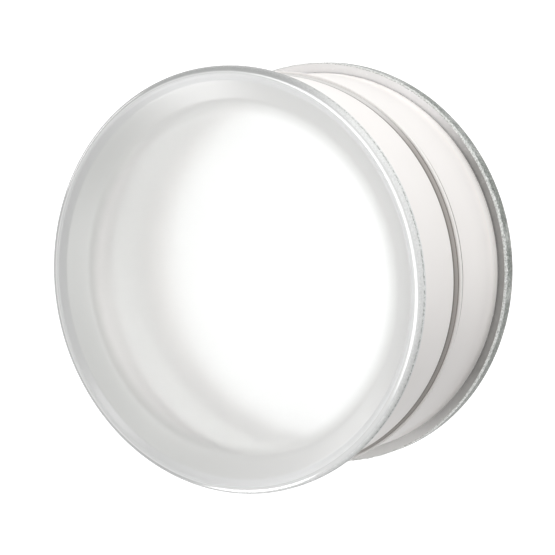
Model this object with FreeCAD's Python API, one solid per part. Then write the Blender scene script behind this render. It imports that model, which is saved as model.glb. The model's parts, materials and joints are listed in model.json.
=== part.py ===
import FreeCAD, Part
import math
import os

# Covered crystallizing dish: a round, flat-bottomed dish and its round cover, which meet rim to rim on a
# seal ring. Each half is a side wall of opal glass bonded to a frosted glass plate, and each plate stands
# out past its wall as a flange. All sizes are in millimetres. +Z is up, and the origin is the centre of the
# base plate's underside. Every piece is a solid of revolution about Z, so each one is drawn as a profile of
# (radius, height, rounding) corners.

# Side walls
WALL_RADIUS = 90.0              # outside of both walls
WALL_THICKNESS = 4.0
DISH_WALL_HEIGHT = 42.1
COVER_WALL_HEIGHT = 29.3
RIM_ROUNDING = 0.8              # outer corner of the cover's lower rim
RIM_INNER_ROUNDING = 0.5        # inner corner of both rims
BEAD_PROUD = 1.6                # how far the bead round the dish's rim stands out from the wall
BEAD_HEIGHT = 1.9
BEAD_ROUNDING = 0.6
GROOVE_DROP = 2.7               # underside of the bead down to a fine groove turned round the wall
GROOVE_WIDTH = 0.9
GROOVE_DEPTH = 0.4

# Base plate
BASE_OVERHANG = 5.0             # flange, measured out from the wall
BASE_THICKNESS = 5.6            # underside to the floor inside the dish
BASE_EDGE_RISE = 2.6            # the flange's edge stands this far above the floor, round the wall
BASE_LAND = 0.6                 # flat strip on top of the edge
BASE_EDGE_ROUNDING = 0.25
BASE_FOOT_ROUNDING = 0.7
BASE_MOAT = 0.3                 # strip of floor left between the wall and the foot of the flange's slope
BASE_MOAT_ROUNDING = 1.0

# Cover plate
COVER_OVERHANG = 5.0            # flange, measured out from the wall
COVER_THICKNESS = 4.0           # underside to the floor of the recess on top
LIP_RISE = 9.0                  # height of the lip above the floor of the recess
LIP_ROUNDING = 3.2              # outer shoulder of the lip
LIP_INSET = 4.0                 # flange's edge to where the lip starts to slope inwards
LIP_INNER_ROUNDING = 1.4
KNEE_BAND = 6.4                 # flange's edge to the knee, where the steep slope turns into the gentle one
KNEE_DROP = 3.2                 # top of the lip down to the knee
KNEE_ROUNDING = 4.0
RECESS_BAND = 15.2              # flange's edge to the foot of the gentle slope
RECESS_ROUNDING = 5.0
COVER_EDGE_HEIGHT = 5.4         # underside of the flange to the top of the lip
COVER_COVE = 4.0                # hollow under the flange, or as large as the overhang allows
COVER_EDGE_ROUNDING = 0.6
COVE_MARGIN = 0.1               # least flat left between the cove and the edge's rounding

# Bond lines, seal and collar
BOND_THICKNESS = 0.6
SEAL_THICKNESS = 3.8
SEAL_TOP_INSET = 0.5            # the seal's upper edge stops this far short of the outside of the cover's wall
SEAL_FOOT_INSET = 0.7           # and its lower edge this far short of the outside of the dish's bead
SEAL_ROUNDING = 0.5
COLLAR_THICKNESS = 2.5
COLLAR_DEPTH = 12.0             # length held in the dish's wall
COLLAR_RISE = 8.0               # length that enters the cover's wall
COLLAR_PRESS = 0.05             # the collar's lower part is this much larger than the bore that holds it
COLLAR_SHOULDER_DROP = 0.5      # the collar narrows this far under the dish's rim
COLLAR_ROUNDING = 0.8
RUNNING_CLEARANCE = 0.3         # between the collar and what turns or lifts round it

# Levels and radii that follow from the sizes above
bore_radius = WALL_RADIUS - WALL_THICKNESS
base_radius = WALL_RADIUS + BASE_OVERHANG
cover_radius = WALL_RADIUS + COVER_OVERHANG
base_edge = BASE_THICKNESS + BASE_EDGE_RISE
dish_wall_bottom = BASE_THICKNESS + BOND_THICKNESS
dish_rim = dish_wall_bottom + DISH_WALL_HEIGHT
cover_rim = dish_rim + SEAL_THICKNESS
cover_wall_top = cover_rim + COVER_WALL_HEIGHT
cover_underside = cover_wall_top + BOND_THICKNESS
recess_floor = cover_underside + COVER_THICKNESS
lip_top = recess_floor + LIP_RISE


def tangent_arc(before, corner, after, radius):
    """Rounds a corner between its two neighbours: the arc, and where it starts and ends."""
    back = (before - corner).normalize()
    ahead = (after - corner).normalize()
    half_angle = back.getAngle(ahead) / 2
    reach = radius / math.tan(half_angle)
    start = corner + back * reach
    end = corner + ahead * reach
    inwards = (back + ahead).normalize()
    middle = corner + inwards * (radius / math.sin(half_angle) - radius)
    return start, Part.Arc(start, middle, end).toShape(), end


def turned(corners):
    """Solid of revolution about Z from a closed profile of (radius, height, rounding) corners."""
    points = [FreeCAD.Vector(radius, 0, height) for radius, height, _ in corners]
    edges = []
    ends = []
    for i, (_, _, rounding) in enumerate(corners):
        corner = points[i]
        if rounding:
            start, arc, end = tangent_arc(points[i - 1], corner, points[(i + 1) % len(points)], rounding)
            edges.append(arc)
        else:
            start = end = corner
        ends.append((start, end))
    for i, (_, end) in enumerate(ends):
        next_start = ends[(i + 1) % len(ends)][0]
        edges.append(Part.LineSegment(end, next_start).toShape())
    outline = Part.Wire(Part.__sortEdges__(edges))
    return Part.Face(outline).revolve(FreeCAD.Vector(0, 0, 0), FreeCAD.Vector(0, 0, 1), 360)


def ring(inner, outer, bottom, top):
    """Plain ring with square corners."""
    return turned([(inner, bottom, 0), (outer, bottom, 0), (outer, top, 0), (inner, top, 0)])


def base_plate():
    """Frosted plate whose flange stands up round the foot of the wall."""
    slope_top = base_radius - BASE_LAND
    slope_foot = WALL_RADIUS + BASE_MOAT
    return turned([
        (0, 0, 0),
        (base_radius, 0, BASE_FOOT_ROUNDING),
        (base_radius, base_edge, BASE_EDGE_ROUNDING),
        (slope_top, base_edge, BASE_EDGE_ROUNDING),
        (slope_foot, BASE_THICKNESS, BASE_MOAT_ROUNDING),
        (0, BASE_THICKNESS, 0),
    ])


def dish_wall():
    """Opal glass side wall of the dish, with a bead round its rim and a fine groove below it."""
    bead_radius = WALL_RADIUS + BEAD_PROUD
    bead_bottom = dish_rim - BEAD_HEIGHT
    groove_top = bead_bottom - GROOVE_DROP
    return turned([
        (bore_radius, dish_wall_bottom, 0),
        (WALL_RADIUS, dish_wall_bottom, 0),
        (WALL_RADIUS, groove_top - GROOVE_WIDTH, 0),
        (WALL_RADIUS - GROOVE_DEPTH, groove_top - GROOVE_WIDTH / 2, 0),
        (WALL_RADIUS, groove_top, 0),
        (WALL_RADIUS, bead_bottom, 0),
        (bead_radius, bead_bottom, BEAD_ROUNDING),
        (bead_radius, dish_rim, BEAD_ROUNDING),
        (bore_radius, dish_rim, RIM_INNER_ROUNDING),
    ])


def locating_collar():
    """Ring pressed into the dish's bore that stands up inside the cover and keeps it centred."""
    inner = bore_radius - RUNNING_CLEARANCE - COLLAR_THICKNESS
    held = bore_radius + COLLAR_PRESS
    free = bore_radius - RUNNING_CLEARANCE
    bottom = dish_rim - COLLAR_DEPTH
    shoulder = dish_rim - COLLAR_SHOULDER_DROP
    top = cover_rim + COLLAR_RISE
    return turned([
        (inner, bottom, COLLAR_ROUNDING),
        (held, bottom, COLLAR_ROUNDING),
        (held, shoulder, 0),
        (free, shoulder, 0),
        (free, top, COLLAR_ROUNDING),
        (inner, top, COLLAR_ROUNDING),
    ])


def seal_ring():
    """Soft ring between the two rims, whose outer face spreads from the cover's wall to the dish's bead."""
    foot_radius = WALL_RADIUS + BEAD_PROUD - SEAL_FOOT_INSET
    top_radius = WALL_RADIUS - SEAL_TOP_INSET
    return turned([
        (bore_radius, dish_rim, 0),
        (foot_radius, dish_rim, SEAL_ROUNDING),
        (top_radius, cover_rim, SEAL_ROUNDING),
        (bore_radius, cover_rim, 0),
    ])


def cover_wall():
    """Opal glass side wall of the cover."""
    return turned([
        (bore_radius, cover_rim, RIM_INNER_ROUNDING),
        (WALL_RADIUS, cover_rim, RIM_ROUNDING),
        (WALL_RADIUS, cover_wall_top, 0),
        (bore_radius, cover_wall_top, 0),
    ])


def cover_plate():
    """Frosted plate with a rounded lip round a shallow recess, and a hollow under its flange."""
    flange_underside = lip_top - COVER_EDGE_HEIGHT
    cove = min(COVER_COVE, COVER_OVERHANG - COVER_EDGE_ROUNDING - COVE_MARGIN)
    return turned([
        (0, cover_underside, 0),
        (WALL_RADIUS, cover_underside, 0),
        (WALL_RADIUS, flange_underside, cove),
        (cover_radius, flange_underside, COVER_EDGE_ROUNDING),
        (cover_radius, lip_top, LIP_ROUNDING),
        (cover_radius - LIP_INSET, lip_top, LIP_INNER_ROUNDING),
        (cover_radius - KNEE_BAND, lip_top - KNEE_DROP, KNEE_ROUNDING),
        (cover_radius - RECESS_BAND, recess_floor, RECESS_ROUNDING),
        (0, recess_floor, 0),
    ])


pieces = {
    "base_plate": base_plate(),
    "base_bond": ring(bore_radius, WALL_RADIUS, BASE_THICKNESS, dish_wall_bottom),
    "dish_wall": dish_wall(),
    "locating_collar": locating_collar(),
    "seal_ring": seal_ring(),
    "cover_wall": cover_wall(),
    "cover_bond": ring(bore_radius, WALL_RADIUS, cover_wall_top, cover_underside),
    "cover_plate": cover_plate(),
}

os.makedirs("parts", exist_ok=True)
for name, shape in pieces.items():
    box = shape.BoundBox
    print(f"{name}: valid {shape.isValid()}, {len(shape.Solids)} solid, {shape.Volume / 1000:.1f} cm3, "
          f"z {box.ZMin:.2f} to {box.ZMax:.2f}, radius {box.XMax:.2f}")
    shape.exportStep(f"parts/{name}.step")
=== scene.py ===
# %% [markdown]
# # A covered crystallizing dish
# The dish is a round, flat-bottomed vessel for growing crystals, with a cover of the same bore. Each half
# is a side wall of opal glass bonded to a frosted glass plate, and the halves meet rim to rim on a soft
# ring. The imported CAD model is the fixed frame: every size that can be read from it is read from it, and
# the looks are built round it in the same metres.

# %% Load the frame
import json
import math
import bpy
from mathutils import Matrix, Vector, noise

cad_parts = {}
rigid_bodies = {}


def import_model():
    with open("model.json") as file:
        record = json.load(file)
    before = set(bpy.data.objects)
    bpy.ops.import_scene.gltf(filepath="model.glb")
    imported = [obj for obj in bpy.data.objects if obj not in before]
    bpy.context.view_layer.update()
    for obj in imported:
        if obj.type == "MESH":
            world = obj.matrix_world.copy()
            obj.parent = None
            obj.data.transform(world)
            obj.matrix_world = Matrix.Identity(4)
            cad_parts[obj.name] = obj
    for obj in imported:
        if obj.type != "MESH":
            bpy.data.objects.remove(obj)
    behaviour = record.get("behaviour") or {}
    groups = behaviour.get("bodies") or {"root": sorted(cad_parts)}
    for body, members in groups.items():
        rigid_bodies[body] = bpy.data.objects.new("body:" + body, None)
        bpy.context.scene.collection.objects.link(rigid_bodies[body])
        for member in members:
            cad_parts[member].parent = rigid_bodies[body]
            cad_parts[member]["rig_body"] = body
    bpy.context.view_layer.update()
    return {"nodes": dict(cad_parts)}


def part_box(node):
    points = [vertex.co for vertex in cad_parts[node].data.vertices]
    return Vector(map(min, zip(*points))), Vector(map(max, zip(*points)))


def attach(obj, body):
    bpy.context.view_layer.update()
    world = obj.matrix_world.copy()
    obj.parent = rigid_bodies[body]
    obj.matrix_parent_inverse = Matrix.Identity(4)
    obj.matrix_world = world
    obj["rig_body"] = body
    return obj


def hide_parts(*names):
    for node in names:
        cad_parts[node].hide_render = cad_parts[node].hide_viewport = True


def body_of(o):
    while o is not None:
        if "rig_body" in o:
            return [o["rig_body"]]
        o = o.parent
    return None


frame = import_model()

MM = 0.001

# %% [markdown]
# ## Radii and levels
# The boxes of the CAD pieces give the radii and levels that the pieces share. What a box can't say, such as
# how far a corner is rounded, is named beside the piece it belongs to, with the same value as in the part's
# own source.

# %% Radii and levels read from the frame
BASE_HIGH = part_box("base_plate")[1]
BOND_LOW, BOND_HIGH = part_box("base_bond")
DISH_LOW, DISH_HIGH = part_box("dish_wall")
COVER_WALL_LOW, COVER_WALL_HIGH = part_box("cover_wall")
COVER_LOW, COVER_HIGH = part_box("cover_plate")

BASE_RADIUS = BASE_HIGH.x
WALL_RADIUS = BOND_HIGH.x
BEAD_RADIUS = DISH_HIGH.x
COVER_RADIUS = COVER_HIGH.x
WALL_THICKNESS = 4.0 * MM
BORE = WALL_RADIUS - WALL_THICKNESS
FLOOR_LEVEL = BOND_LOW.z
BASE_EDGE = BASE_HIGH.z
DISH_RIM = DISH_HIGH.z
COVER_RIM = COVER_WALL_LOW.z
COVER_UNDER = COVER_LOW.z
LIP_TOP = COVER_HIGH.z
print(f"wall radius {WALL_RADIUS / MM:.1f} mm, flange radius {BASE_RADIUS / MM:.1f} mm")
print(f"height {LIP_TOP / MM:.1f} mm")

# %% [markdown]
# ## Turning a profile
# Glass like this is spun or ground on a lathe, so every piece is round about one axis. A piece is drawn as
# half of its section, as a closed list of (radius, height, rounding) corners, and that outline is turned
# about the upright axis. A Screw modifier would do the same, but plain mesh code lets each strip of the
# outline carry its own finish, such as a ground edge beside an etched face.

# %% Round the corners of a profile
ARC_STEP = math.radians(7.5)
FEWEST_STEPS = 3


def rounded(corners):
    """Points of a closed profile whose corners are (radius, height, rounding)."""
    points = []
    for i, (radius, height, rounding) in enumerate(corners):
        here = Vector((radius, height))
        if not rounding:
            points.append(here)
            continue
        back = (Vector(corners[i - 1][:2]) - here).normalized()
        ahead = (Vector(corners[(i + 1) % len(corners)][:2]) - here).normalized()
        half = back.angle(ahead) / 2
        centre = here + (back + ahead).normalized() * (rounding / math.sin(half))
        start = here + back * (rounding / math.tan(half)) - centre
        turn = math.pi - 2 * half
        side = 1 if back.x * ahead.y - back.y * ahead.x < 0 else -1
        steps = max(FEWEST_STEPS, round(turn / ARC_STEP))
        for k in range(steps + 1):
            points.append(centre + Matrix.Rotation(side * turn * k / steps, 2) @ start)
    return points


print(f"a square corner is rounded in {round(math.pi / 2 / ARC_STEP)} steps")

# %% Points and faces of a turned outline
SECTORS = 360
ON_AXIS = 1e-7


def turned_points(outline, ground, sectors):
    """The points of each ring, and each ring's list of them: a ring on the axis is one point."""
    verts, rings = [], []
    for point in outline:
        on_axis = point.x < ON_AXIS
        rings.append([len(verts) + (0 if on_axis else k) for k in range(sectors)])
        for k in range(1 if on_axis else sectors):
            angle = math.tau * k / sectors
            pull, drop = ground(point.x, point.y, angle)
            radius = point.x - pull
            verts.append((radius * math.cos(angle), radius * math.sin(angle), point.y - drop))
    return verts, rings


def turned_faces(outline, rings, choose, sectors):
    """The faces between neighbouring rings, and the number of each one's finish."""
    faces, picks = [], []
    for i, ring in enumerate(rings):
        after = rings[(i + 1) % len(rings)]
        middle = (outline[i] + outline[(i + 1) % len(outline)]) / 2
        for k in range(sectors):
            n = (k + 1) % sectors
            distinct = list(dict.fromkeys([ring[k], ring[n], after[n], after[k]]))
            if len(distinct) > 2:
                faces.append(distinct)
                picks.append(choose(middle.x, middle.y))
    return faces, picks


print(f"a sector is {math.tau * WALL_RADIUS / SECTORS / MM:.2f} mm wide on the wall")

# %% Turn a profile into a piece that replaces a CAD node
SHARP_ANGLE = math.radians(35)


def one_finish(radius, height):
    """A piece whose strips all have its first finish."""
    return 0


def unground(radius, height, angle):
    """A piece with no chips."""
    return 0, 0


def turned(name, node, corners, finishes, choose=one_finish, ground=unground, sectors=SECTORS):
    """A piece turned from a profile. choose(radius, height) picks one of its finishes for each strip, and
    ground(radius, height, angle) says how far a point is pulled in and down where an edge is ground."""
    outline = rounded(corners)
    verts, rings = turned_points(outline, ground, sectors)
    faces, picks = turned_faces(outline, rings, choose, sectors)
    mesh = bpy.data.meshes.new(name)
    mesh.from_pydata(verts, [], faces)
    for finish in finishes:
        mesh.materials.append(finish)
    mesh.polygons.foreach_set("material_index", picks)
    mesh.shade_smooth()
    mesh.set_sharp_from_angle(angle=SHARP_ANGLE)
    mesh.validate()
    piece = bpy.data.objects.new(name, mesh)
    bpy.context.scene.collection.objects.link(piece)
    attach(piece, body_of(frame["nodes"][node])[0])
    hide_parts(node)
    print(f"{name}: {len(outline)} points in the profile, {len(faces)} faces")
    return piece


print(f"an edge is sharp when it turns more than {math.degrees(SHARP_ANGLE):.0f} degrees")

# %% [markdown]
# ## Shader maths
# A finish is a graph of nodes. Written out node by node it is hard to read, so one small class wraps a
# socket and turns Python sums into Math nodes. Any other node comes from one method.

# %% A socket that can be used in sums
class Wire:
    """An output socket of a node, in sums that add Math nodes."""

    def __init__(self, finish, socket):
        self.finish = finish
        self.socket = socket

    def maths(self, operation, a, b):
        return self.finish.node("Math", {"operation": operation}, {0: a, 1: b})

    def __add__(self, other):
        return self.maths("ADD", self, other)

    def __radd__(self, other):
        return self.maths("ADD", other, self)

    def __sub__(self, other):
        return self.maths("SUBTRACT", self, other)

    def __rsub__(self, other):
        return self.maths("SUBTRACT", other, self)

    def __mul__(self, other):
        return self.maths("MULTIPLY", self, other)

    def __rmul__(self, other):
        return self.maths("MULTIPLY", other, self)

    def __pow__(self, other):
        return self.maths("POWER", self, other)


# %% A finish and its nodes
class Finish:
    """One material and the nodes that make it."""

    def __init__(self, name):
        self.material = bpy.data.materials.new(name)
        self.material.use_nodes = True
        self.tree = self.material.node_tree
        self.tree.nodes.clear()

    def node(self, kind, settings=None, sockets=None, out=0):
        """Adds a shader node: its settings are set first, then the values or links of its sockets."""
        made = self.tree.nodes.new("ShaderNode" + kind)
        for key, value in (settings or {}).items():
            setattr(made, key, value)
        for key, value in (sockets or {}).items():
            if isinstance(value, Wire):
                self.tree.links.new(value.socket, made.inputs[key])
            elif isinstance(value, tuple) and made.inputs[key].type == "RGBA":
                made.inputs[key].default_value = (*value, 1)
            else:
                made.inputs[key].default_value = value
        return Wire(self, made.outputs[out])

    def place(self):
        """The point on the piece, in metres in the frame: it moves with the piece."""
        return self.node("TexCoord", out="Object")

    def axes(self):
        """The x, y and z of that point, and its distance from the upright axis."""
        split = self.node("SeparateXYZ", sockets={0: self.place()}).socket.node.outputs
        x, y, z = (Wire(self, split[i]) for i in range(3))
        return x, y, z, (x * x + y * y) ** 0.5

    def noise(self, size, detail, roughness=0.5):
        """Noise from 0 to 1 whose features are about size metres across."""
        sockets = {"Vector": self.place(), "Scale": 1 / size, "Detail": detail, "Roughness": roughness}
        return self.node("TexNoise", sockets=sockets)

    def step(self, value, low, high):
        """0 below low, 1 above high, and smooth between."""
        settings = {"interpolation_type": "SMOOTHSTEP"}
        return self.node("MapRange", settings, {"Value": value, "From Min": low, "From Max": high})

    def hump(self, value, middle, width):
        """1 at the middle, falling smoothly to 0 at a width on either side."""
        return self.step(value, middle - width, middle) * (1 - self.step(value, middle, middle + width))

    def blend(self, factor, first, second):
        """A colour between two colours."""
        return self.node("Mix", {"data_type": "RGBA"}, {0: factor, 6: first, 7: second}, out=2)

    def bump(self, height, distance, strength):
        """A normal that makes a value look like relief."""
        return self.node("Bump", sockets={"Height": height, "Distance": distance, "Strength": strength})

    def surface(self, **sockets):
        """A Principled shader; base_color is its Base Color socket, and so on."""
        titles = {key: key.replace("_", " ").title().replace("Ior", "IOR") for key in sockets}
        return self.node("BsdfPrincipled", sockets={titles[key]: value for key, value in sockets.items()})

    def done(self, surface):
        """Ends the graph in a shader and returns the material."""
        output = self.tree.nodes.new("ShaderNodeOutputMaterial")
        self.tree.links.new(surface.socket, output.inputs["Surface"])
        print("finish:", self.material.name, len(self.tree.nodes), "nodes")
        return self.material


# %% [markdown]
# ## The base plate's glass
# The base is frosted glass that lets light up from the table. A plain white shader would hide that light,
# so the shader really transmits, with a rough surface that softens what comes through. Low clouds and a
# fine grain come from noise, at the size of the etch.

# %% Etched base
GLASS_IOR = 1.5
ETCH_RELIEF = 0.006 * MM


def etched_base():
    f = Finish("etched_base")
    cloud = f.noise(14 * MM, 3)
    grain = f.noise(0.4 * MM, 2)
    colour = f.blend(cloud, (0.90, 0.91, 0.90), (0.94, 0.945, 0.94))
    return f.done(f.surface(base_color=colour, roughness=0.42 + 0.08 * cloud, transmission_weight=0.8,
                            ior=GLASS_IOR, normal=f.bump(grain, ETCH_RELIEF, 0.5)))


base_finish = etched_base()

# %% [markdown]
# ## Ground edges
# The rim of each plate is ground on a wheel, which leaves a matt, sugary grain in grey and green. On the
# base the grain is dark below and pale along the corner, and the line between the two is ragged. One side
# of the base's rim is painted pale, as painted light. Two noises do it: a coarse one moves the line up and
# down, and a fine one gives the grain its colour, gloss and relief. Both plates share the grain, so it is a
# function of its own.

# %% The side that is painted lighter
PAINTED_LIT_DRIFT = 16 * MM


def painted_lit_side(f, x, low, high):
    """0 to 1 across a flange, towards the side that is painted lighter, as painted light."""
    drift = f.noise(25 * MM, 2)
    return f.step(x + (drift - 0.5) * PAINTED_LIT_DRIFT, low * BASE_RADIUS, high * BASE_RADIUS)


# The side in this print is the side painted lighter, as painted light.
print(f"the worn side's border wanders {PAINTED_LIT_DRIFT / 2 / MM:.0f} mm either way")

# %% Ground grain, and the base's ground edge
GRAIN_RELIEF = 0.25 * MM
RAGGED_REACH = 4.0 * MM


def ground_edge(f, dark_part, dark_tones, pale_tones, painted_lit):
    """Grain in two pairs of tones; where the last argument is 1 the grain is painted pale, as painted
    light.
    """
    grain = f.noise(0.9 * MM, 4, 0.8)
    crisp = f.step(grain, 0.40, 0.60)
    colour = f.blend(dark_part, f.blend(crisp, *pale_tones), f.blend(crisp, *dark_tones))
    # The pale tone blended in here is painted light, on one side of the rim.
    colour = f.blend(painted_lit, colour, (0.80, 0.81, 0.80))
    return f.done(f.surface(base_color=colour, roughness=0.4 + 0.25 * grain, coat_weight=0.3,
                            coat_roughness=0.25, normal=f.bump(grain, GRAIN_RELIEF, 1.0)))


def base_edge():
    """Dark below, pale along the corner, and ragged between."""
    f = Finish("ground_edge_base")
    x, _, height, _ = f.axes()
    ragged = f.noise(1.8 * MM, 5, 0.8)
    patches = f.noise(14 * MM, 2)
    line = height + (ragged - 0.5) * RAGGED_REACH
    dark_part = 1 - f.step(line, BASE_EDGE - 3.0 * MM, BASE_EDGE - 1.2 * MM)
    dark_part = dark_part * (1 - 0.4 * f.step(patches, 0.5, 0.75))
    dark_tones = (0.06, 0.07, 0.06), (0.27, 0.29, 0.26)
    pale_tones = (0.42, 0.43, 0.41), (0.86, 0.87, 0.85)
    # The +X side of the ground edge is painted pale, as painted light.
    return ground_edge(f, dark_part, dark_tones, pale_tones, 0.85 * painted_lit_side(f, x, 0.88, 1.02))


base_edge_finish = base_edge()

# %% [markdown]
# ## The base's polished slope
# The flange stands up round the foot of the wall, and the slope inside it is polished. It mirrors the
# shaded foot of the wall, so it reads as a dark band between the pale wall and the pale ground corner. A
# true mirror would follow the studio and not the vessel, so that reflection is painted into the slope as a
# dark glossy glaze, a painted reflection, and its +X and -X sides are painted paler, as painted light.

# %% Polished slope
def polished_slope():
    f = Finish("polished_slope")
    x = f.axes()[0]
    streak = f.noise(4 * MM, 3)
    # The dark tones are a painted reflection of the wall's shaded foot.
    colour = f.blend(streak, (0.25, 0.245, 0.24), (0.33, 0.325, 0.315))
    # The +X and -X sides are painted paler, as painted light.
    colour = f.blend(painted_lit_side(f, x, 0.25, 0.75), colour, (0.84, 0.835, 0.84))
    colour = f.blend(0.9 * painted_lit_side(f, 0 - x, 0.66, 0.98), colour, (0.84, 0.84, 0.835))
    return f.done(f.surface(base_color=colour, roughness=0.22 + 0.08 * streak, coat_weight=0.6,
                            coat_roughness=0.12))


slope_finish = polished_slope()

# %% [markdown]
# ## The base plate
# The plate is one closed mesh. Its ground corner is really chipped, because a chip breaks the outline where
# a bump can't: points near the corner are pulled in and down, by up to a third of a millimetre, by noise
# that has the same value each time. It has twice the sectors of the other pieces, to carry the chips.

# %% Chips along the ground corner
BASE_LAND = 0.6 * MM
CHIP_SIZE = 2.2 * MM
CHIP_DEPTH = 0.35 * MM
CHIP_REACH = 2 * BASE_LAND


def base_chips(radius, height, angle):
    """How far a point near the base's ground corner is pulled in and down."""
    distance = math.hypot(radius - BASE_RADIUS, height - BASE_EDGE)
    if distance > CHIP_REACH:
        return 0, 0
    spot = Vector((BASE_RADIUS * math.cos(angle), BASE_RADIUS * math.sin(angle), height)) / CHIP_SIZE
    chip = max(0, noise.noise(spot)) * CHIP_DEPTH * (1 - distance / CHIP_REACH)
    return chip, chip


print(f"chips: up to {CHIP_DEPTH / MM:.2f} mm deep, within {CHIP_REACH / MM:.1f} mm of the corner")

# %% Base plate
BASE_FOOT_ROUNDING = 0.7 * MM
BASE_EDGE_ROUNDING = 0.25 * MM
BASE_MOAT = 0.3 * MM
BASE_MOAT_ROUNDING = 1.0 * MM


def base_zone(radius, height):
    """Which finish a strip of the base plate has."""
    if radius > BASE_RADIUS - BASE_LAND:
        return 1
    return 2 if radius > WALL_RADIUS and height > 0.5 * FLOOR_LEVEL else 0


base_plate = turned("base_plate_glass", "base_plate", [
    (0, 0, 0),
    (BASE_RADIUS, 0, BASE_FOOT_ROUNDING),
    (BASE_RADIUS, BASE_EDGE, BASE_EDGE_ROUNDING),
    (BASE_RADIUS - BASE_LAND, BASE_EDGE, BASE_EDGE_ROUNDING),
    (WALL_RADIUS + BASE_MOAT, FLOOR_LEVEL, BASE_MOAT_ROUNDING),
    (BORE, FLOOR_LEVEL, 0),
    (0.5 * BORE, FLOOR_LEVEL, 0),
    (0, FLOOR_LEVEL, 0),
], [base_finish, base_edge_finish, slope_finish], base_zone, base_chips, 2 * SECTORS)

# %% [markdown]
# ## The cover's shape
# The cover is a plate with a rounded lip round a shallow recess. Its slope has a knee, where a steep part
# turns into a gentle one, and a cove runs under the flange. The sizes come first, because the finishes
# change where the shape does.

# %% Sizes of the cover plate
COVER_THICKNESS = 4.0 * MM
COVER_EDGE_HEIGHT = 5.4 * MM
COVER_EDGE_ROUNDING = 0.6 * MM
COVER_COVE = 4.0 * MM
LIP_ROUNDING = 3.2 * MM
LIP_INSET = 4.0 * MM
LIP_INNER_ROUNDING = 1.4 * MM
KNEE_BAND = 6.4 * MM
KNEE_DROP = 3.2 * MM
KNEE_ROUNDING = 4.0 * MM
RECESS_BAND = 15.2 * MM
RECESS_ROUNDING = 5.0 * MM
RECESS_RADIUS = COVER_RADIUS - RECESS_BAND
KNEE_RADIUS = COVER_RADIUS - KNEE_BAND
LIP_INNER_RADIUS = COVER_RADIUS - LIP_INSET
RECESS_FLOOR = COVER_UNDER + COVER_THICKNESS
FLANGE_UNDER = LIP_TOP - COVER_EDGE_HEIGHT
print(f"recess {(LIP_TOP - RECESS_FLOOR) / MM:.1f} mm deep, floor {2 * RECESS_RADIUS / MM:.0f} mm across")

# %% [markdown]
# ## The etched face of the cover
# The cover's outer face is etched with acid, so light from inside the vessel comes through it softened,
# like a lamp behind a shade. Glass that is only painted white would hide the inside. Real transmission with
# a rough surface lets the lit floor and the darker wall behind it glow through. The slope round the recess
# is thicker glass, which looks greyer and a little green, so the shader changes with the radius, and the
# slope's far side is painted greyer still, as painted shade. Low clouds and a fine grain come from noise,
# at the size of the etch.

# %% Etched face
def etched_face():
    f = Finish("etched_face")
    _, y, _, radius = f.axes()
    cloud = f.noise(16 * MM, 3)
    grain = f.noise(0.35 * MM, 2)
    on_slope = f.step(radius, RECESS_RADIUS - 7 * MM, RECESS_RADIUS + 1 * MM)
    on_knee = f.step(radius, KNEE_RADIUS - 0.8 * MM, KNEE_RADIUS + 0.8 * MM)
    painted_shade_far_side = f.step(y, -0.2 * COVER_RADIUS, 0.8 * COVER_RADIUS)
    disc = f.blend(cloud, (0.92, 0.92, 0.925), (0.95, 0.95, 0.955))
    # The slope's far side is painted greyer, as painted shade.
    slope = f.blend(painted_shade_far_side, (0.74, 0.74, 0.73), (0.60, 0.605, 0.59))
    slope = f.blend(on_knee, slope, f.blend(painted_shade_far_side, (0.80, 0.805, 0.805), (0.61, 0.613, 0.61)))
    roughness = 0.28 + 0.05 * cloud
    normal = f.bump(grain, ETCH_RELIEF, 0.5)
    thin = f.surface(base_color=disc, roughness=roughness, normal=normal, transmission_weight=0.72,
                     ior=GLASS_IOR)
    thick = f.surface(base_color=slope, roughness=roughness, normal=normal, transmission_weight=0.08,
                      ior=GLASS_IOR, coat_weight=0.6, coat_roughness=0.32)
    return f.done(f.node("MixShader", sockets={0: on_slope, 1: thin, 2: thick}))


face_finish = etched_face()

# %% [markdown]
# ## The polished lip and the underside
# The lip is the thickest part of the cover and is fire polished. Thick glass gathers the light of a lamp
# into one bright line, which a thin coat of gloss is too weak to show, so part of the surface mirrors. On
# one side its shoulder is painted a middle grey, as painted shade, where the glass behind it is in shade.
# The underside is clear, smooth glass.

# %% Lip
def shaded_side(f, x, y):
    """0 to 1 across the cover, towards the side where the lip and the cover's edge are painted grey, as
    painted shade.
    """
    return f.step(y + 0.6 * x, -0.6 * COVER_RADIUS, 0.15 * COVER_RADIUS)


def polished_lip():
    f = Finish("polished_lip")
    x, y, _, radius = f.axes()
    streak = f.noise(5 * MM, 3)
    inner = f.step(radius, LIP_INNER_RADIUS - 0.8 * MM, LIP_INNER_RADIUS + 1.2 * MM)
    shoulder = f.step(radius, COVER_RADIUS - 2.7 * MM, COVER_RADIUS - 1.9 * MM)
    colour = f.blend(inner, (0.66, 0.67, 0.665), (0.86, 0.865, 0.86))
    # On one side the shoulder is painted grey, as painted shade.
    colour = f.blend(shoulder * shaded_side(f, x, y), colour, (0.46, 0.465, 0.46))
    colour = f.blend(0.15 * streak, colour, (0.9, 0.9, 0.9))
    return f.done(f.surface(base_color=colour, roughness=0.16 + 0.05 * streak, metallic=0.2,
                            coat_weight=0.9, coat_roughness=0.08))


lip_finish = polished_lip()


# %% Underside
def clear_underside():
    f = Finish("clear_underside")
    cloud = f.noise(20 * MM, 2)
    colour = f.blend(cloud, (0.94, 0.95, 0.94), (0.97, 0.97, 0.965))
    return f.done(f.surface(base_color=colour, roughness=0.10 + 0.05 * cloud, transmission_weight=0.9,
                            ior=GLASS_IOR))


underside_finish = clear_underside()

# %% [markdown]
# ## The cover's ground edge
# The cover's side is ground too, but finer than the base's. It is pale, and painted darker, as painted
# shade, on the same side as the lip, with dark flecks in a line where the side meets the shoulder.

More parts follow.
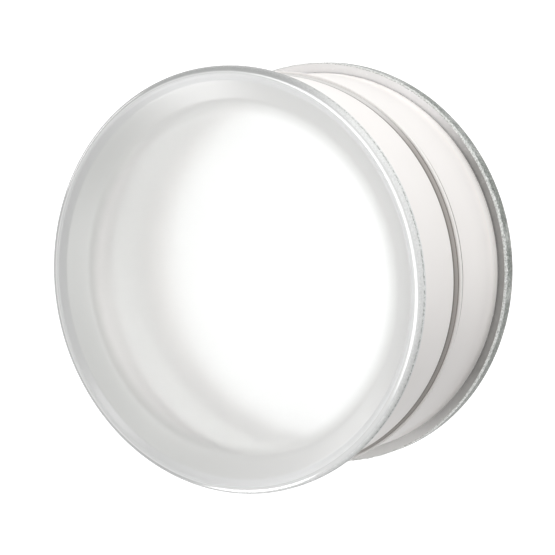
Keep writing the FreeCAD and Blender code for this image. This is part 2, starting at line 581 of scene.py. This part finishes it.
# %% Ground edge of the cover
def cover_edge():
    f = Finish("ground_edge_cover")
    x, y, height, _ = f.axes()
    flecks = f.step(f.noise(1.2 * MM, 3, 0.7), 0.40, 0.60)
    dark_part = flecks * f.hump(height, LIP_TOP - 1.05 * LIP_ROUNDING, 0.35 * LIP_ROUNDING)
    dark_tones = (0.16, 0.165, 0.16), (0.40, 0.41, 0.40)
    # On the same side the edge is painted darker, as painted shade.
    pale = f.blend(shaded_side(f, x, y), (0.84, 0.85, 0.84), (0.40, 0.405, 0.40))
    pale_tones = f.blend(0.15, pale, (0, 0, 0)), pale
    return ground_edge(f, dark_part, dark_tones, pale_tones, 0)


cover_edge_finish = cover_edge()

# %% [markdown]
# ## The cover plate
# The plate is one closed mesh, and each strip of its outline takes one of the four finishes above. The
# plate casts no shadow: light that is bent by rough glass takes very long to trace, and this lets the lamps
# reach into the vessel as they do through frosted glass.

# %% Cover plate
GROUND_BAND = 1.2 * MM
FLANGE_MARGIN = 0.2 * MM
UNDERSIDE_MARGIN = 0.1 * MM


def cover_zone(radius, height):
    """Which finish a strip of the cover plate has."""
    if radius > COVER_RADIUS - GROUND_BAND and height > FLANGE_UNDER + FLANGE_MARGIN:
        return 1
    on_lip = radius > LIP_INNER_RADIUS + 0.5 * LIP_INNER_ROUNDING
    under_flange = radius > WALL_RADIUS and height < LIP_TOP - LIP_ROUNDING
    if on_lip or under_flange:
        return 2
    return 3 if height < COVER_UNDER + UNDERSIDE_MARGIN else 0


cover_plate = turned("cover_plate_glass", "cover_plate", [
    (0, COVER_UNDER, 0),
    (WALL_RADIUS, COVER_UNDER, 0),
    (WALL_RADIUS, FLANGE_UNDER, COVER_COVE),
    (COVER_RADIUS, FLANGE_UNDER, COVER_EDGE_ROUNDING),
    (COVER_RADIUS, LIP_TOP, LIP_ROUNDING),
    (LIP_INNER_RADIUS, LIP_TOP, LIP_INNER_ROUNDING),
    (KNEE_RADIUS, LIP_TOP - KNEE_DROP, KNEE_ROUNDING),
    (RECESS_RADIUS, RECESS_FLOOR, RECESS_ROUNDING),
    (0.5 * RECESS_RADIUS, RECESS_FLOOR, 0),
    (0, RECESS_FLOOR, 0),
], [face_finish, cover_edge_finish, lip_finish, underside_finish], cover_zone)
cover_plate.visible_shadow = False

# %% [markdown]
# ## Opal glass
# The walls are opal glass, white all through, with a satin skin and a shallow ripple that breaks the gloss.
# It is warm in tone beside the etched plates. Opal glass also carries light inside itself, which a surface
# shader leaves out, so some light and shade is painted in by place. The inside is painted greyer, as
# painted shade, most of all on the -X side, and the dish shows a little of that painted shade outside. The
# foot has a painted glow, an emission that stands for the table's light from below, and a fine groove under
# the bead holds a thin dark line of painted shadow and grime.

# %% Sizes of the dish's rim and groove
BEAD_HEIGHT = 1.9 * MM
BEAD_ROUNDING = 0.6 * MM
GROOVE_DROP = 2.7 * MM
GROOVE_WIDTH = 0.9 * MM
GROOVE_DEPTH = 0.4 * MM
BEAD_BOTTOM = DISH_RIM - BEAD_HEIGHT
GROOVE_TOP = BEAD_BOTTOM - GROOVE_DROP
GROOVE_MIDDLE = GROOVE_TOP - GROOVE_WIDTH / 2
print(f"groove {(DISH_RIM - GROOVE_MIDDLE) / MM:.2f} mm under the rim")

# %% Opal glass
# INNER_SHADE is how much painted shade the inside has on the -X side.
INNER_SHADE = 0.95


def opal_glass(name, outer_shade):
    """outer_shade says how much of the -X side's painted shade shows on the outside too."""
    f = Finish(name)
    x, _, height, radius = f.axes()
    cloud = f.noise(22 * MM, 3)
    skin = f.noise(1.2 * MM, 2)
    outside = f.step(radius, WALL_RADIUS - 2 * GROOVE_DEPTH, WALL_RADIUS - GROOVE_DEPTH)
    groove_shadow_and_grime = f.hump(height, GROOVE_MIDDLE, 0.75 * GROOVE_WIDTH)
    shaded = f.step(0 - x, 0.05 * WALL_RADIUS, WALL_RADIUS)
    colour = f.blend(cloud, (0.83, 0.80, 0.775), (0.87, 0.845, 0.825))
    # The inside is painted greyer, as painted shade.
    colour = f.blend(outside, f.blend(0.15, colour, (0.45, 0.45, 0.45)), colour)
    # A thin dark line in the groove is painted shadow and grime.
    colour = f.blend(0.95 * groove_shadow_and_grime * outside, colour, (0.10, 0.09, 0.08))
    # The -X side is painted greyer, as painted shade.
    shade = shaded * (INNER_SHADE - (INNER_SHADE - outer_shade) * outside)
    colour = f.blend(shade, colour, (0.42, 0.405, 0.395))
    # A painted glow at the foot stands in for the table's light from below.
    painted_foot_glow = 1 - f.step(height, 0.06 * LIP_TOP, (0.34 - 0.14 * outside) * LIP_TOP)
    painted_foot_glow = painted_foot_glow * (1 - 0.8 * shaded * outside)
    glow = f.blend(painted_foot_glow, (0, 0, 0), (0.28, 0.275, 0.265))
    return f.done(f.surface(base_color=colour, roughness=0.40 + 0.08 * cloud,
                            normal=f.bump(skin, 0.008 * MM, 0.4), coat_weight=0.15, coat_roughness=0.3,
                            emission_color=glow, emission_strength=1.0))


dish_opal = opal_glass("opal_glass_dish", outer_shade=0.35)
cover_opal = opal_glass("opal_glass_cover", outer_shade=0.0)

# %% [markdown]
# ## The walls
# Both walls are plain tubes. The dish's rim has a bead round it, and the groove is really cut below that,
# so that it also shows in the outline.

# %% Walls
RIM_ROUNDING = 0.8 * MM
RIM_INNER_ROUNDING = 0.5 * MM

dish_wall = turned("dish_wall_glass", "dish_wall", [
    (BORE, DISH_LOW.z, 0),
    (WALL_RADIUS, DISH_LOW.z, 0),
    (WALL_RADIUS, GROOVE_TOP - GROOVE_WIDTH, 0),
    (WALL_RADIUS - GROOVE_DEPTH, GROOVE_MIDDLE, 0),
    (WALL_RADIUS, GROOVE_TOP, 0),
    (WALL_RADIUS, BEAD_BOTTOM, 0),
    (BEAD_RADIUS, BEAD_BOTTOM, BEAD_ROUNDING),
    (BEAD_RADIUS, DISH_RIM, BEAD_ROUNDING),
    (BORE, DISH_RIM, RIM_INNER_ROUNDING),
], [dish_opal])
cover_wall = turned("cover_wall_glass", "cover_wall", [
    (BORE, COVER_RIM, RIM_INNER_ROUNDING),
    (WALL_RADIUS, COVER_RIM, RIM_ROUNDING),
    (WALL_RADIUS, COVER_WALL_HIGH.z, 0),
    (BORE, COVER_WALL_HIGH.z, 0),
], [cover_opal])

# %% [markdown]
# ## The seal
# The seal is a soft grey ring, painted darker at either rim as painted shadow, and painted paler on its +X
# side as painted light. Its outer face spreads from the cover's wall down to the dish's bead. The shadow
# could be left to the light, but the gap is so narrow that it comes and goes, so the shadow is painted in
# and the tone changes with the height.

# %% Seal
SEAL_TOP_INSET = 0.5 * MM
SEAL_FOOT_INSET = 0.7 * MM
SEAL_ROUNDING = 0.5 * MM


def seal_rubber():
    f = Finish("seal_rubber")
    x, _, height, _ = f.axes()
    grain = f.noise(0.6 * MM, 3)
    rise = f.step(height, DISH_RIM, COVER_RIM)
    # The +X side of the seal is painted paler, as painted light.
    painted_light_side = f.step(x, 0.40 * WALL_RADIUS, 0.75 * WALL_RADIUS)
    # The seal is painted darker at both rims, as painted shadow in the narrow gap.
    painted_shadow_low = 1 - f.step(height, DISH_RIM + 0.7 * MM, DISH_RIM + 1.2 * MM)
    painted_shadow_high = f.step(height, COVER_RIM - 1.3 * MM, COVER_RIM - 0.5 * MM)
    colour = f.blend(rise, (0.44, 0.41, 0.385), (0.33, 0.305, 0.285))
    colour = f.blend(0.8 * painted_shadow_low, colour, (0.14, 0.125, 0.11))
    colour = f.blend(0.8 * painted_light_side, colour, (0.78, 0.77, 0.755))
    colour = f.blend(0.8 * painted_shadow_high, colour, (0.14, 0.125, 0.11))
    colour = f.blend(0.15 * grain, colour, (0.2, 0.19, 0.18))
    return f.done(f.surface(base_color=colour, roughness=0.5 + 0.1 * grain,
                            normal=f.bump(grain, 0.03 * MM, 0.5)))


seal = turned("seal_ring_rubber", "seal_ring", [
    (BORE, DISH_RIM, 0),
    (BEAD_RADIUS - SEAL_FOOT_INSET, DISH_RIM, SEAL_ROUNDING),
    (WALL_RADIUS - SEAL_TOP_INSET, COVER_RIM, SEAL_ROUNDING),
    (BORE, COVER_RIM, 0),
], [seal_rubber()])

# %% [markdown]
# ## The bonds
# A thin grey line of resin bonds each wall to its plate. Both bonds are plain rings, so a loop makes them,
# and their finish is a fine grain in two tones that the collar uses too.

# %% Bonds
def grained(name, first, second, roughness, grain_size):
    f = Finish(name)
    grain = f.noise(grain_size, 3)
    return f.done(f.surface(base_color=f.blend(grain, first, second), roughness=roughness + 0.1 * grain,
                            normal=f.bump(grain, 0.03 * MM, 0.5)))


bond_finish = grained("bond_resin", (0.56, 0.55, 0.54), (0.66, 0.65, 0.64), 0.4, 0.8 * MM)
for name in ("base_bond", "cover_bond"):
    low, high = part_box(name)
    bond = turned(name + "_resin", name, [
        (BORE, low.z, 0), (WALL_RADIUS, low.z, 0), (WALL_RADIUS, high.z, 0), (BORE, high.z, 0),
    ], [bond_finish])

# %% [markdown]
# ## The collar
# A collar of white moulded plastic centres the cover. It is pressed into the dish and stands up inside the
# cover's wall, and it narrows by its running clearance just under the dish's rim.

# %% Collar
COLLAR_THICKNESS = 2.5 * MM
COLLAR_SHOULDER_DROP = 0.5 * MM
COLLAR_ROUNDING = 0.8 * MM
RUNNING_CLEARANCE = 0.3 * MM
collar_finish = grained("collar_plastic", (0.82, 0.82, 0.80), (0.88, 0.88, 0.86), 0.45, 1.2 * MM)
collar_low, collar_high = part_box("locating_collar")
held = collar_high.x
free = BORE - RUNNING_CLEARANCE
inner = free - COLLAR_THICKNESS
shoulder = DISH_RIM - COLLAR_SHOULDER_DROP
collar = turned("locating_collar_ring", "locating_collar", [
    (inner, collar_low.z, COLLAR_ROUNDING),
    (held, collar_low.z, COLLAR_ROUNDING),
    (held, shoulder, 0),
    (free, shoulder, 0),
    (free, collar_high.z, COLLAR_ROUNDING),
    (inner, collar_high.z, COLLAR_ROUNDING),
], [collar_finish])

# %% [markdown]
# ## The light table
# The dish stands on a light table, which glows brightest under the dish: it keeps the shadow at the foot
# soft and sends light up through the base plate. A plane that glows is simpler than a lamp under a sheet,
# and it looks the same.

# %% Light table
TABLE_DROP = 0.2 * MM
TABLE_SIDE = 8
TABLE_GLOW = 1.6
bpy.ops.mesh.primitive_plane_add(size=TABLE_SIDE, location=(0, 0, -TABLE_DROP))
floor = bpy.context.object
floor.name = "floor"


def light_table():
    f = Finish("light_table")
    radius = f.axes()[3]
    beyond = f.step(radius, 0.92 * BASE_RADIUS, 1.02 * BASE_RADIUS)
    glow = f.blend(beyond, (1.0, 1.0, 1.0), (0.635, 0.635, 0.637))
    return f.done(f.surface(base_color=(0.2, 0.2, 0.201), roughness=0.9, emission_color=glow,
                            emission_strength=TABLE_GLOW))


floor.data.materials.append(light_table())

# %% [markdown]
# ## The black card
# White glass on a white table has no edges. A black card that lies beside it keeps the table's light off
# one side of the walls, so that they turn grey and look round. A grey painted on the outside of the cover
# would turn with it, and this stays where it is. The card doesn't show to the camera.

# %% Black card
CARD_NEAR = 0.14
CARD_LENGTH = 0.40
CARD_WIDTH = 0.62
CARD_TURN = math.radians(-163)
CARD_RISE = 2 * MM


def black_card():
    f = Finish("black_card")
    weave = f.noise(2 * MM, 2)
    colour = f.blend(weave, (0.02, 0.02, 0.02), (0.03, 0.03, 0.03))
    return f.done(f.surface(base_color=colour, roughness=0.9))


middle = CARD_NEAR + CARD_LENGTH / 2
spot = (middle * math.cos(CARD_TURN), middle * math.sin(CARD_TURN), CARD_RISE)
bpy.ops.mesh.primitive_plane_add(size=1, location=spot, rotation=(0, 0, CARD_TURN))
card = bpy.context.object
card.name = "black_card"
card.scale = (CARD_LENGTH, CARD_WIDTH, 1)
card.visible_camera = False
card.data.materials.append(black_card())
print(f"card: {CARD_LENGTH / MM:.0f} by {CARD_WIDTH / MM:.0f} mm, {CARD_NEAR / MM:.0f} mm from the axis")

# %% [markdown]
# ## The softboxes
# A wide softbox hangs over the cover, and three smaller ones stand round it, low enough to draw bright
# lines along the lip and the flanges. They don't show to the camera. Their light is given as a glow per
# area, so a box can be made larger for a softer light without becoming brighter.

# %% Softboxes
LAMPS_AIM = Vector((0, 0, 0.05))


def softbox(name, place, size, radiance):
    """An area light whose glow is the same whatever its size."""
    data = bpy.data.lights.new(name, "AREA")
    data.shape = "RECTANGLE"
    data.size, data.size_y = size
    data.energy = radiance * math.pi * size[0] * size[1]
    lamp = bpy.data.objects.new(name, data)
    lamp.location = place
    lamp.rotation_euler = (Vector(place) - LAMPS_AIM).to_track_quat("Z", "Y").to_euler()
    lamp.visible_camera = False
    bpy.context.scene.collection.objects.link(lamp)
    print(f"{name}: {data.energy:.1f} W")


softbox("overhead", (0.05, -0.12, 0.85), (1.3, 0.45), 2.3)
softbox("side", (0.80, -0.68, 0.28), (0.5, 0.5), 4.2)
softbox("left", (-0.94, 0.61, 0.46), (0.55, 0.55), 5.0)
softbox("far", (0.66, 0.99, 0.22), (0.55, 0.30), 3.2)

# %% [markdown]
# ## The studio's white surround
# The world is white. It lights the glass from all round, so at full strength it would wash out the shading.
# It is dimmer as a light than where the camera sees it, which the Light Path node tells apart.

# %% World
WORLD_AS_LIGHT = 0.35
WORLD_AS_SEEN = 1.0
world = bpy.data.worlds.new("studio")
bpy.context.scene.world = world
world.use_nodes = True
nodes, links = world.node_tree.nodes, world.node_tree.links
background = nodes["Background"]
background.inputs["Color"].default_value = (1, 1, 1, 1)
seen = nodes.new("ShaderNodeLightPath")
strength = nodes.new("ShaderNodeMapRange")
strength.inputs["To Min"].default_value = WORLD_AS_LIGHT
strength.inputs["To Max"].default_value = WORLD_AS_SEEN
links.new(seen.outputs["Is Camera Ray"], strength.inputs["Value"])
links.new(strength.outputs["Result"], background.inputs["Strength"])
bpy.context.scene.view_settings.view_transform = "Standard"
print("world:", WORLD_AS_LIGHT, "as a light,", WORLD_AS_SEEN, "where the camera sees it")

# %% [markdown]
# ## Camera
# The camera looks down on the cover from the front, with a long lens, and is rolled so that the dish seems
# to lie on its side. Distances are in radii of the cover, so the view keeps its framing if the dish is
# resized.

# %% Camera
TILT = math.radians(59.46)
ROLL = math.radians(-101.23)
DISTANCE = 10.23
ASIDE = -0.217
ABOVE = -0.018
SENSOR_WIDTH = 36
FOCAL_LENGTH = 142.7
back = Vector((0, -math.cos(TILT), math.sin(TILT)))
turn = (-back).to_track_quat("-Z", "Y").to_matrix() @ Matrix.Rotation(ROLL, 3, "Z")
camera_data = bpy.data.cameras.new("camera")
camera_data.sensor_width = SENSOR_WIDTH
camera_data.lens = FOCAL_LENGTH
camera = bpy.data.objects.new("camera", camera_data)
bpy.context.scene.collection.objects.link(camera)
aim = Vector((0, 0, LIP_TOP - LIP_ROUNDING))
offset = turn @ Vector((ASIDE, ABOVE, -DISTANCE)) * COVER_RADIUS
camera.matrix_world = Matrix.Translation(aim - offset) @ turn.to_4x4()
bpy.context.scene.camera = camera
print(f"camera: {DISTANCE * COVER_RADIUS:.2f} m away, {FOCAL_LENGTH} mm lens")
